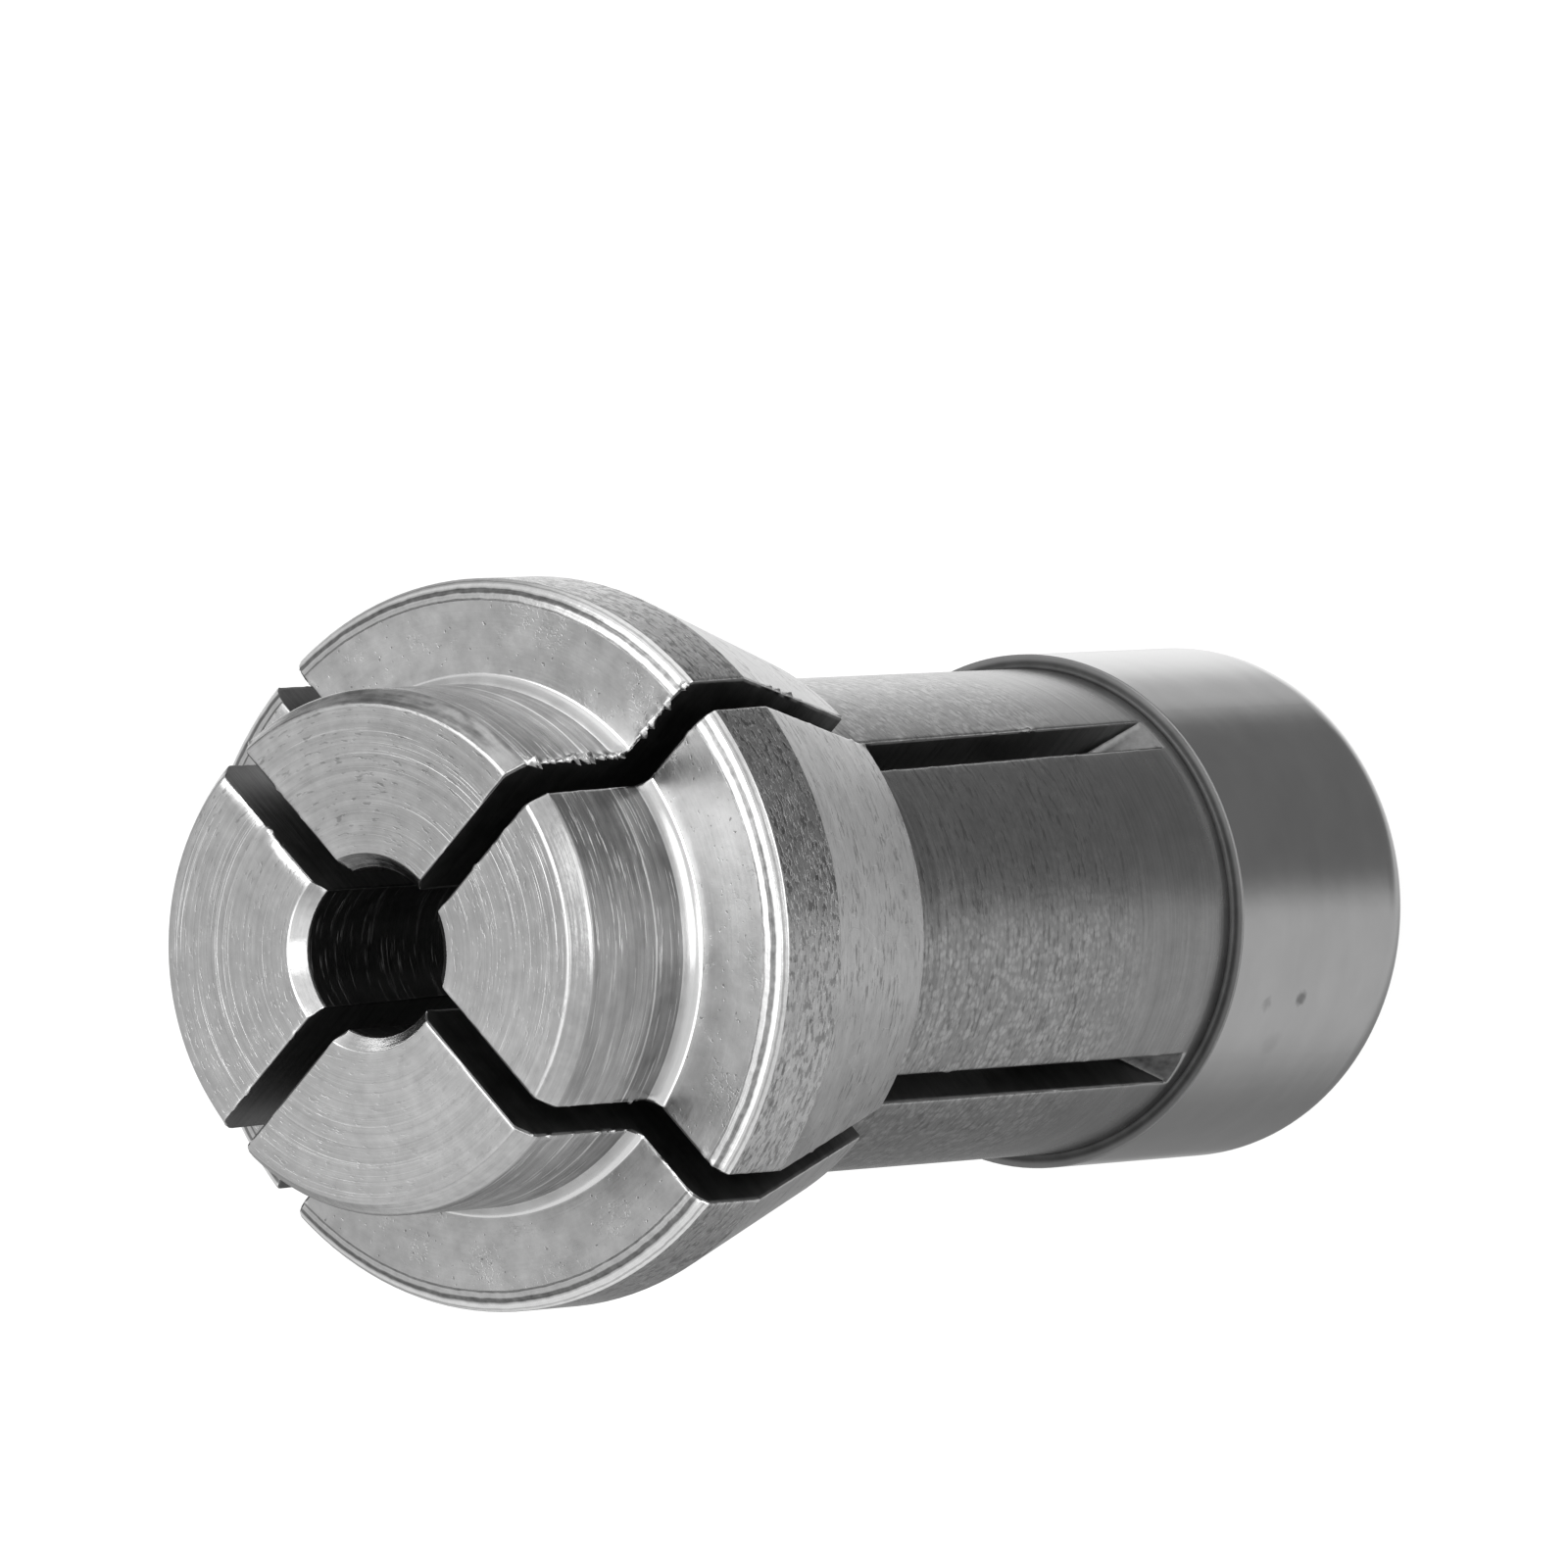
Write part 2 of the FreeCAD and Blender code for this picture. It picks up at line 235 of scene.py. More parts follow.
def build_collet():
    g = Grid()
    rows, zones = rows_of(JAW_PROFILE)
    n_rows = len(rows)
    r, z = rows[:, 0], rows[:, 1]
    normal = row_normals(rows)
    s = np.concatenate([[0], np.cumsum(np.linalg.norm(np.diff(rows, axis=0), axis=1))])
    starts, ends, beside = jaw_limits(r, z)

    # inner rows: one for each group of outer rows
    group = 4
    cuts = list(range(0, n_rows - 1, group)) + [n_rows - 1]

    def row_at(radius, height):
        return int(np.argmin(np.hypot(r - radius, z - height)))

    z_end_in = float(saw_z(RELIEF_R))
    anchors = [(0, LENGTH - 0.25), (row_at(4.65, LENGTH - 0.385), 25.4), (row_at(4.65, HEAD_Z + 0.34), 23.5),
               (row_at(6.125, HEAD_Z), 22.4), (row_at(6.52, LAND_Z), 20.8), (row_at(5.24, LIP_Z), 17.5),
               (row_at(4.5, LIP_Z - 0.15), 17.0), (n_rows - 1, z_end_in)]
    z_in_all = np.interp(np.arange(n_rows), [a[0] for a in anchors], [a[1] for a in anchors])
    z_in = z_in_all[cuts].copy()
    for snap in (GRIP_Z, CONE_Z):
        k = int(np.argmin(abs(z_in - snap)))
        z_in[k] = snap
    r_in = np.interp(-z_in, [-99, -GRIP_Z, -CONE_Z, 99], [GRIP_R, GRIP_R, RELIEF_R, RELIEF_R])
    r_in_all = np.interp(-z_in_all, [-99, -GRIP_Z, -CONE_Z, 99], [GRIP_R, GRIP_R, RELIEF_R, RELIEF_R])
    starts_in, ends_in, _ = jaw_limits(r_in, z_in)
    starts_all, ends_all, _ = jaw_limits(r_in_all, z_in_all)
    s_in = 60 + (LENGTH - z_in)

    ramp_out = np.clip((SLIT_Z + 3.0 - z) / 3.0, 0, 1) ** 2 * (r < 4.6)
    ramp_in = np.clip((z_end_in + 3.0 - z_in) / 3.0, 0, 1) ** 2
    ramp_all = np.clip((SLIT_Z + 2.5 - z) / 2.5, 0, 1) ** 2 * (r < 4.6)

    def end_shift(radius, off):
        return float(saw_z(math.sqrt(radius ** 2 - off ** 2)) - saw_z(radius))

    WALLS = 6
    outer_ring, inner_ring, walls = [], [], {}
    outer_ang, inner_ang, dz_out_ring, dz_in_ring = [], [], [], []
    lean_end, lean_end_in = lean_of(SLIT_Z), lean_of(z_end_in)

    for q in range(4):
        ang, from_edge = columns(starts[q], ends[q], r)
        # how far each edge lies beside the axis at the slits' ends
        b_out = [float(np.ravel(b)[-1]) if np.size(b) > 1 else float(b) for b in beside[q]]
        _, _, b_in_all = jaw_limits(np.array([RELIEF_R]), np.array([z_end_in]))
        b_in = [float(np.ravel(b)[-1]) for b in b_in_all[q]]
        d0, d1 = end_shift(4.5, b_out[0]), end_shift(4.5, b_out[1])
        e0, e1 = end_shift(RELIEF_R, b_in[0]), end_shift(RELIEF_R, b_in[1])
        t_col = (ang - starts[q][:, None]) / (ends[q] - starts[q])[:, None]
        height = z[:, None] + (d0 + (d1 - d0) * t_col) * ramp_out[:, None]
        pos = np.stack([r[:, None] * np.cos(ang), r[:, None] * np.sin(ang), height], -1)
        n3 = np.stack([normal[:, :1] * np.cos(ang), normal[:, :1] * np.sin(ang), np.repeat(normal[:, 1:], COLS, 1)], -1)
        around = np.stack([-np.sin(ang), np.cos(ang), 0 * ang], -1)

        # the slit edges: a small worn round, and burrs that the saw left
        move = np.zeros_like(pos)
        rubbed = np.zeros(pos.shape[:2])
        for side in (0, 1):
            cols = np.arange(6) if side == 0 else COLS - 1 - np.arange(6)
            into = 1.0 if side == 0 else -1.0             # from the slit towards the jaw
            seed = 100 + 10 * q + side
            wear, burr, size, shine, reach = edge_of(q, side, s)
            worn = wear * (1 + 0.6 * wander(s, 0.35, seed))
            teeth = np.clip(wander(s, size, seed + 500, 2) + burr, 0, 1)
            grain = 0.5 + 0.5 * wander(s, 0.06, seed + 900, 1)
            lift = reach * teeth * (0.25 + 0.75 * grain)
            keep = np.ones(n_rows)
            keep[-1] = keep[0] = 0
            keep[1] = 0.4
            for k in range(6):
                c = cols[k]
                down, back, up, rub = ((1.0, 0.9, 0.45, 1.0), (0.45, 0.1, 0.75, 1.0), (0.08, 0.0, 0.6, 0.7), (0.0, 0.0, 0.3, 0.4), (0.0, 0.0, 0.1, 0.2), (0.0, 0.0, 0.0, 0.0))[k]
                if (q, side) == (2, 0):                   # this edge is broken to a small bevel
                    down, back = (1.0, 0.82, 0.6, 0.38, 0.14, 0.0)[k], (0.35, 0.1, 0.0, 0.0, 0.0, 0.0)[k]
                amount = (-worn * down + lift * up) * keep
                sideways = (worn * back - 0.9 * lift * (k == 0)) * into * keep
                move[:, c] += n3[:, c] * amount[:, None] + around[:, c] * sideways[:, None]
                specks = wander(s, 0.08, seed + 40 * k, 1) * np.clip(burr + 0.3, 0, 1) * (1.0, 1.0, 1.0, 0.9, 0.6, 0.25)[k]
                rub = max(rub, (1.0, 1.0, 0.95, 0.8, 0.45, 0.1)[k]) if (q, side) == (2, 0) else rub
                rubbed[:, c] = np.clip(rub * (shine * (0.6 + 0.6 * wander(s, 0.2, seed + 3)) + 1.2 * lift) + 3.0 * specks, -1.3, 1.0)
        shaped = pos + move
        idx = g.add(shaped, np.repeat(s[:, None], COLS, 1), from_edge, rubbed).reshape(n_rows, COLS)
        g.sheet(idx, zones)

        # the bores' surface in this jaw
        ang_in, edge_in = columns(starts_in[q], ends_in[q], r_in)
        t_in = (ang_in - starts_in[q][:, None]) / (ends_in[q] - starts_in[q])[:, None]
        h_in = z_in[:, None] + (e0 + (e1 - e0) * t_in) * ramp_in[:, None]
        pos_in = np.stack([r_in[:, None] * np.cos(ang_in), r_in[:, None] * np.sin(ang_in), h_in], -1)
        more = g.add(pos_in[1:], np.repeat(s_in[1:, None], COLS, 1), edge_in[1:]).reshape(-1, COLS)
        idx_in = np.concatenate([idx[:1], more])
        zones_in = [GRIP if z_in[k + 1] >= GRIP_Z - 1e-6 else CONE if z_in[k + 1] >= CONE_Z - 1e-6 else RELIEF for k in range(len(z_in) - 1)]
        g.sheet(idx_in, zones_in)

        # the two slit walls
        for side in (0, 1):
            col = 0 if side == 0 else COLS - 1
            a_in = (starts_all if side == 0 else ends_all)[q]
            far = np.stack([r_in_all * np.cos(a_in), r_in_all * np.sin(a_in), z_in_all], -1)
            far[:, 2] += (e0 if side == 0 else e1) * np.clip((z_end_in + 3.0 - z_in_all) / 3.0, 0, 1) ** 2
            near = pos[:, col]
            span = np.maximum(np.linalg.norm(far - near, axis=1), 1e-6)
            part = np.stack([np.minimum(0.03 / span, 0.12), np.minimum(0.09 / span, 0.25), np.full(n_rows, 0.34),
                             np.full(n_rows, 0.6), np.full(n_rows, 0.82), 1 - np.minimum(0.06 / span, 0.09)], 1)
            grid = near[:, None] + (far - near)[:, None] * part[:, :, None]
            off_o, off_i = b_out[side], b_in[side]
            s_o, s_i = math.sqrt(4.5 ** 2 - off_o ** 2), math.sqrt(RELIEF_R ** 2 - off_i ** 2)
            bend = saw_z(s_o + (s_i - s_o) * part[-1]) - (near[-1, 2] + (far[-1, 2] - near[-1, 2]) * part[-1])
            grid[:, :, 2] += bend[None] * ramp_all[:, None]
            w = g.add(grid[1:], 100 + np.repeat(s[1:, None], WALLS, 1), np.repeat(-(part * span[:, None])[1:], 1, 1)).reshape(-1, WALLS)
            w = np.concatenate([np.full((1, WALLS), idx[0, col]), w])
            w = np.concatenate([idx[:, col:col + 1], w], 1)
            for j in range(n_rows - 1):
                for k in range(WALLS):
                    g.face((w[j, k], w[j + 1, k], w[j + 1, k + 1], w[j, k + 1]), WALL)
            for k in range(len(cuts) - 1):
                g.face([w[j, WALLS] for j in range(cuts[k], cuts[k + 1] + 1)] + [idx_in[k + 1, col], idx_in[k, col]], WALL)
            walls[(q, side)] = [*w[-1], idx_in[-1, col]]
        outer_ring.append(idx[-1])
        inner_ring.append(idx_in[-1])
        outer_ang.append(ang[-1])
        inner_ang.append(ang_in[-1])
        dz_out_ring.append(d0 + (d1 - d0) * t_col[-1])
        dz_in_ring.append(e0 + (e1 - e0) * t_in[-1])

    # the slits' floors, and the rings that they leave
    ring_o, ring_i, ang_o, ang_i, dz_o, dz_i = [], [], [], [], [], []
    pts = lambda: np.concatenate(g.points)
    for q in range(4):
        nxt = (q + 1) % 4
        turn = 2 * math.pi if nxt == 0 else 0.0
        f = np.arange(1, GAP) / GAP
        gap_o = outer_ang[q][-1] + (outer_ang[nxt][0] + turn - outer_ang[q][-1]) * f
        gap_i = inner_ang[q][-1] + (inner_ang[nxt][0] + turn - inner_ang[q][-1]) * f
        _, _, b_o = jaw_limits(np.array([4.5]), np.array([SLIT_Z]))
        _, _, b_i = jaw_limits(np.array([RELIEF_R]), np.array([z_end_in]))
        bo0, bo1 = float(np.ravel(b_o[q][1])[0]), float(np.ravel(b_o[nxt][0])[0])
        bi0, bi1 = float(np.ravel(b_i[q][1])[0]), float(np.ravel(b_i[nxt][0])[0])
        off_o, off_i = bo0 + (bo1 - bo0) * f, bi0 + (bi1 - bi0) * f
        dzo = np.array([end_shift(4.5, o) for o in off_o])
        dzi = np.array([end_shift(RELIEF_R, o) for o in off_i])
        new_o = g.add(np.stack([4.5 * np.cos(gap_o), 4.5 * np.sin(gap_o), SLIT_Z + dzo], -1), s[-1], 0.1)
        new_i = g.add(np.stack([RELIEF_R * np.cos(gap_i), RELIEF_R * np.sin(gap_i), z_end_in + dzi], -1), s_in[-1], 0.1)
        everything = pts()
        a_line, b_line = walls[(q, 1)], walls[(nxt, 0)]
        floor = np.zeros((len(a_line), GAP + 1), int)
        floor[:, 0], floor[:, -1] = a_line, b_line
        floor[0, 1:-1], floor[-1, 1:-1] = new_o, new_i
        for k in range(1, len(a_line) - 1):
            pa, pb = everything[a_line[k]], everything[b_line[k]]
            p = pa + (pb - pa) * f[:, None]
            share = (k - 1) / (len(a_line) - 3)
            floor[k, 1:-1] = g.add(p, 100 + s[-1], 0.5)
        g.sheet(floor, [FLOOR] * (len(a_line) - 1))
        ring_o += [*outer_ring[q], *new_o]
        ring_i += [*inner_ring[q], *new_i]
        ang_o += [*outer_ang[q], *gap_o]
        ang_i += [*inner_ang[q], *gap_i]
        dz_o += [*dz_out_ring[q], *dzo]
        dz_i += [*dz_in_ring[q], *dzi]

    # behind the slits the collet is whole
    REAR_PROFILE[-1] = (RELIEF_R, z_end_in, 0.0, 0, 0.5, RELIEF)
    rows_b, zones_b = rows_of(REAR_PROFILE)
    rb, zb = rows_b[:, 0], rows_b[:, 1]
    sb = s[-1] + np.concatenate([[0], np.cumsum(np.linalg.norm(np.diff(rows_b, axis=0), axis=1))])
    ang_o, ang_i, dz_o, dz_i = (np.array(x) for x in (ang_o, ang_i, dz_o, dz_i))
    first_in = int(np.argmax((rb <= RELIEF_R + 1e-6)))
    last_out = int(np.argmax(rb < 4.60)) if (rb[10:] < 4.60).any() else 0
    last_out = 10 + int(np.argmax(rb[10:] < 4.60))
    blend = np.clip((np.arange(len(rb)) - last_out) / max(1, first_in - last_out), 0, 1)
    ang_b = ang_o[None] * (1 - blend[:, None]) + ang_i[None] * blend[:, None]
    fade_o = np.clip((zb - (SLIT_Z - 0.26)) / 0.26, 0, 1) * (blend <= 0)
    fade_i = np.clip((zb - (z_end_in - 3.0)) / 3.0, 0, 1) * (blend >= 1)
    zz = zb[:, None] + dz_o[None] * fade_o[:, None] + dz_i[None] * fade_i[:, None]
    pos_b = np.stack([rb[:, None] * np.cos(ang_b), rb[:, None] * np.sin(ang_b), zz], -1)
    mid = g.add(pos_b[1:-1], np.repeat(np.where(blend[1:-1] >= 1, 60 + LENGTH - zb[1:-1], sb[1:-1])[:, None], len(ang_o), 1), 1.0).reshape(-1, len(ang_o))
    idx_b = np.concatenate([np.array(ring_o)[None], mid, np.array(ring_i)[None]])
    idx_b = np.concatenate([idx_b, idx_b[:, :1]], 1)
    g.sheet(idx_b, zones_b)

    mesh = bpy.data.meshes.new("collet_skin")
    points = np.concatenate(g.points) * MM
    mesh.from_pydata(points.tolist(), [], g.faces)
    mesh.polygons.foreach_set("material_index", np.array([SLOT_OF[k] for k in g.zones], np.int32))
    for name, values in (("s", np.concatenate(g.s)), ("edge", np.concatenate(g.edge)), ("rub", np.concatenate(g.rub))):
        att = mesh.attributes.new(name, "FLOAT", "POINT")
        att.data.foreach_set("value", values.astype(np.float32))
    bm = bmesh.new()
    bm.from_mesh(mesh)
    bmesh.ops.recalc_face_normals(bm, faces=bm.faces)
    bm.to_mesh(mesh)
    bm.free()
    mesh.polygons.foreach_set("use_smooth", np.ones(len(mesh.polygons), bool))
    mesh.update()
    return mesh, dict(rows=n_rows, s=s, r=r, z=z)


def step(s, a, b, soft=0.25):
    """1 between a and b along the profile, with soft ends."""
    return np.clip((s - a) / soft, 0, 1) * np.clip((b - s) / soft, 0, 1)


def edge_of(q, side, s):
    """Wear in mm, how much burr there is, the burrs' length in mm and how bright it is rubbed, along a slit edge of jaw q.
    Jaws 0 to 3 go from +X+Y round by +Y; s is the way along the profile from the bore's mouth."""
    wear = np.full(len(s), 0.018) + 0.012 * step(s, 15, 40)
    burr = np.full(len(s), -0.42)
    shine = np.full(len(s), 0.25)
    size, reach = 0.12, 0.16
    if (q, side) == (2, 0):
        wear = wear + 0.035 * step(s, 0.1, 3.3) + 0.07 * step(s, 0.0, 1.5, 0.5)
        burr = burr + 0.30 * step(s, 0.2, 3.4)
        shine = shine + 0.7 * step(s, 0.0, 3.4) + 0.4 * step(s, 0.0, 1.6, 0.6)
    elif (q, side) == (1, 0):
        wear = wear + 0.030 * step(s, 2.2, 3.6) + 0.012 * step(s, 6.4, 8.4)
        burr = burr + 0.66 * step(s, 3.3, 6.6, 0.15) + 0.52 * step(s, 6.4, 8.4) + 0.25 * step(s, 2.6, 3.4)
        shine = shine + 0.1 * step(s, 2.4, 8.6)
        size, reach = 0.085, 0.42
    elif (q, side) in ((0, 1), (2, 1)):
        burr = burr + 0.14 * step(s, 0.3, 3.6)
        shine = shine + 0.2 * step(s, 0.0, 3.4)
    elif (q, side) in ((3, 0), (3, 1), (0, 0)):
        wear = wear + 0.008 * step(s, 0.3, 9.0)
        burr = burr + 0.16 * step(s, 3.0, 8.6)
        shine = shine + 0.15 * step(s, 2.4, 9.0)
    return wear, burr, size, shine, reach


# ------------------------------------------------------------------ materials
MATERIALS = ["nose_face", "bevel", "neck", "head_face", "land", "taper", "body", "collar", "bore", "slit", "step", "runout", "root", "rim"]
SLOT_OF = {MOUTH: 1, NOSE_FACE: 0, NOSE_BEVEL: 1, NECK: 2, HEAD_FACE: 3, HEAD_EDGE: 13, LAND: 4, TAPER: 5, LIP: 6, BODY: 6,
           SHOULDER: 10, COLLAR: 7, REAR: 7, REAR_BEVEL: 7, RELIEF: 8, CONE: 8, GRIP: 8, WALL: 9, FLOOR: 11, ROOTED: 12}


class Nodes:
    def __init__(self, name):
        self.mat = bpy.data.materials.new(name)
        self.mat.use_nodes = True
        self.tree = self.mat.node_tree
        self.bsdf = self.tree.nodes["Principled BSDF"]
        self.obj = self.new("ShaderNodeTexCoord").outputs["Object"]
        mm = self.new("ShaderNodeVectorMath", operation="SCALE")
        self.link(self.obj, mm.inputs[0])
        mm.inputs["Scale"].default_value = 1000.0
        self.mm = mm.outputs[0]
        sep = self.new("ShaderNodeSeparateXYZ")
        self.link(self.mm, sep.inputs[0])
        self.x, self.y, self.z = sep.outputs
        self.s = self.attribute("s")
        self.edge = self.attribute("edge")
        self.rub = self.attribute("rub")

    def new(self, kind, **kw):
        n = self.tree.nodes.new(kind)
        for k, v in kw.items():
            setattr(n, k, v)
        return n

    def link(self, a, b):
        self.tree.links.new(a, b)

    def attribute(self, name):
        n = self.new("ShaderNodeAttribute", attribute_name=name, attribute_type="GEOMETRY")
        return n.outputs["Fac"]

    def put(self, value, socket):
        if isinstance(value, (int, float)):
            socket.default_value = value
        else:
            self.link(value, socket)

    def math(self, op, a, b=0.0, c=None, clamp=False):
        n = self.new("ShaderNodeMath", operation=op, use_clamp=clamp)
        self.put(a, n.inputs[0])
        self.put(b, n.inputs[1])
        if c is not None:
            self.put(c, n.inputs[2])
        return n.outputs[0]

    def ramp(self, value, lo, hi, to_lo=0.0, to_hi=1.0, smooth=True):
        n = self.new("ShaderNodeMapRange", interpolation_type="SMOOTHSTEP" if smooth else "LINEAR")
        self.put(value, n.inputs[0])
        for k, v in zip((1, 2, 3, 4), (lo, hi, to_lo, to_hi)):
            self.put(v, n.inputs[k])
        return n.outputs[0]

    def stretched(self, across, along, shift=0.0):
        """Coordinates whose pattern runs round the axis: along and across are its lengths in mm."""
        c = self.new("ShaderNodeCombineXYZ")
        self.link(self.math("MULTIPLY_ADD", self.x, 1 / along, shift), c.inputs[0])
        self.link(self.math("MULTIPLY_ADD", self.y, 1 / along, -shift), c.inputs[1])
        self.link(self.math("MULTIPLY_ADD", self.s, 1 / across, shift * 0.7), c.inputs[2])
        return c.outputs[0]

    def even(self, size, shift=0.0):
        n = self.new("ShaderNodeVectorMath", operation="MULTIPLY_ADD")
        self.link(self.mm, n.inputs[0])
        n.inputs[1].default_value = (1 / size,) * 3
        n.inputs[2].default_value = (shift, shift * 1.3, -shift)
        return n.outputs[0]

    def noise(self, vector, detail=2.0, rough=0.5, distort=0.0):
        n = self.new("ShaderNodeTexNoise")
        self.link(vector, n.inputs["Vector"])
        n.inputs["Scale"].default_value = 1.0
        n.inputs["Detail"].default_value = detail
        n.inputs["Roughness"].default_value = rough
        n.inputs["Distortion"].default_value = distort
        return n.outputs["Fac"]

    def cells(self, vector, feature="F1", random=1.0):
        n = self.new("ShaderNodeTexVoronoi", feature=feature)
        self.link(vector, n.inputs["Vector"])
        n.inputs["Scale"].default_value = 1.0
        n.inputs["Randomness"].default_value = random
        return n.outputs["Distance"]

    def grey(self, value):
        n = self.new("ShaderNodeCombineColor")
        for k in range(3):
            self.put(value, n.inputs[k])
        return n.outputs[0]

    def lines(self, across, along, shift=0.0, detail=2.0):
        """Turning marks: streaks round the axis, across mm apart and along mm long, from 0 to 1."""
        return self.noise(self.stretched(across, along, shift), detail, 0.55)

    def grain(self, size, shift=0.0, detail=3.0, rough=0.55):
        return self.noise(self.even(size, shift), detail, rough)

    def about(self, *pairs):
        """Sum of weight x (pattern - 0.5)."""
        out = None
        for pattern, weight in pairs:
            term = self.math("MULTIPLY_ADD", pattern, weight, -0.5 * weight)
            out = term if out is None else self.math("ADD", out, term)
        return out

    def total(self, *pairs):
        out = None
        for pattern, weight in pairs:
            out = self.math("MULTIPLY", pattern, weight) if out is None else self.math("MULTIPLY_ADD", pattern, weight, out)
        return out

    def finish(self, colour, roughness, height_mm, aniso=0.0):
        b = self.bsdf
        b.inputs["Metallic"].default_value = 1.0
        low = self.math("MAXIMUM", self.math("MULTIPLY_ADD", self.rub, 0.34, colour), 0.02)
        self.link(self.grey(low), b.inputs["Base Color"])
        self.put(roughness, b.inputs["Roughness"])
        b.inputs["Anisotropic"].default_value = aniso
        if aniso:
            t = self.new("ShaderNodeTangent", direction_type="RADIAL", axis="Z")
            self.link(t.outputs[0], b.inputs["Tangent"])
        bump = self.new("ShaderNodeBump")
        bump.inputs["Strength"].default_value = 1.0
        bump.inputs["Distance"].default_value = MM
        self.link(height_mm, bump.inputs["Height"])
        self.link(bump.outputs[0], b.inputs["Normal"])
        return self.mat

    def bright_edge(self, amount, width=0.05):
        """Extra brightness along the slit edges, where handling has rubbed them."""
        return self.ramp(self.edge, 0.0, width, amount, 0.0)


def nose_face():
    n = Nodes("nose_face_steel")
    fine, broad = n.lines(0.035, 22), n.lines(0.11, 14, 4.0)
    deep = n.math("MULTIPLY", n.ramp(n.lines(0.055, 5.0, 9.0), 0.60, 0.70), n.ramp(n.s, 1.0, 2.6, 0.35, 1.0))
    mottle, spots = n.grain(0.30, 5.0, 4), n.ramp(n.lines(0.062, 0.24, 21.0), 0.59, 0.68)
    # painted shade: the upper jaw is painted a little darker than the lower one; it also has more marks
    up = n.math("SUBTRACT", n.y, n.x)
    jaw_painted_shade = n.ramp(up, -4.0, 5.0, 0.014, -0.078)
    marked = n.ramp(up, 0.0, 4.0, 0.5, 1.6)
    smooth = n.ramp(up, -4.0, -1.0, 0.45, 1.0)
    deep = n.math("MULTIPLY", deep, smooth)
    colour = n.math("ADD", n.about((fine, 0.15), (broad, 0.17), (mottle, 0.20)), 0.570)
    colour = n.math("ADD", n.math("ADD", colour, jaw_painted_shade), n.total((n.math("MULTIPLY", spots, marked), -0.10), (deep, 0.12)))
    rough = n.math("ADD", n.about((mottle, 0.10), (broad, 0.06)), 0.30)
    height = n.total((fine, 0.0030), (n.math("MULTIPLY", broad, smooth), 0.0060), (deep, 0.0045), (mottle, 0.0030), (spots, -0.002))
    return n.finish(colour, rough, height, 0.40)


def bevel():
    n = Nodes("bevel_steel")
    fine, broad, mottle = n.lines(0.03, 5), n.lines(0.09, 1.2, 4.0), n.grain(0.20, 3.0, 4)
    # painted shade on the upper jaw: in streaks on the outer bevel, and inside the bore's mouth
    up = n.math("SUBTRACT", n.y, n.x)
    inside = n.math("LESS_THAN", n.s, 0.6)
    bevel_painted_shade = n.math("MULTIPLY", n.ramp(up, 3.0, 5.8), n.ramp(n.lines(0.30, 0.9, 9.0, 3), 0.36, 0.62, 0.25, 1.0))
    mouth = n.math("MULTIPLY", inside, n.ramp(up, 0.6, 1.6))
    colour = n.math("ADD", n.about((fine, 0.14), (broad, 0.26), (mottle, 0.26)), 0.595)
    # painted light inside the bore's mouth, on the -X-Y side
    bright = n.math("MULTIPLY", inside, n.ramp(n.math("ADD", n.x, n.y), -1.2, -0.6, 1.0, 0.0))
    colour = n.math("ADD", colour, n.total((bevel_painted_shade, -0.33), (mouth, -0.45), (bright, 0.36)))
    rough = n.math("ADD", n.about((mottle, 0.12)), 0.24)
    return n.finish(colour, rough, n.total((fine, 0.0015), (broad, 0.0040), (mottle, 0.0060)), 0.25)


def root():
    n = Nodes("root_painted_highlight_steel")
    fine, mottle = n.lines(0.05, 2.5), n.grain(0.25, 3.0, 3)
    # the near-white base colour is a painted highlight along the root's fillet
    return n.finish(n.math("ADD", n.about((fine, 0.10), (mottle, 0.10)), 0.93), n.math("ADD", n.about((mottle, 0.1)), 0.22), n.total((fine, 0.001), (mottle, 0.002)), 0.0)


def rim():
    n = Nodes("rim_steel")
    # the tool has left small steps in the broken edge; they are painted in, as a painted highlight band and lines of
    # painted shade at the facets' corners
    wave = n.math("MULTIPLY_ADD", n.grain(0.35, 5.0, 2), 0.05, n.math("ADD", n.s, -0.025))
    colour = n.math("ADD", n.about((n.lines(0.03, 3.0), 0.24), (n.grain(0.15, 2.0, 3), 0.30)), 0.62)
    colour = n.math("ADD", colour, n.ramp(wave, 8.06, 8.10, 0.0, 0.30))
    for at, width, depth in PAINTED_STEP_SHADE:
        gap = n.math("ABSOLUTE", n.math("SUBTRACT", wave, at))
        colour = n.math("ADD", colour, n.ramp(gap, width * 0.5, width, -depth, 0.0))
    return n.finish(colour, n.math("ADD", n.about((n.grain(0.2, 4.0), 0.10)), 0.20), n.total((n.lines(0.035, 1.6, 8.0), 0.003), (n.grain(0.12, 3.0), 0.003)), 0.2)


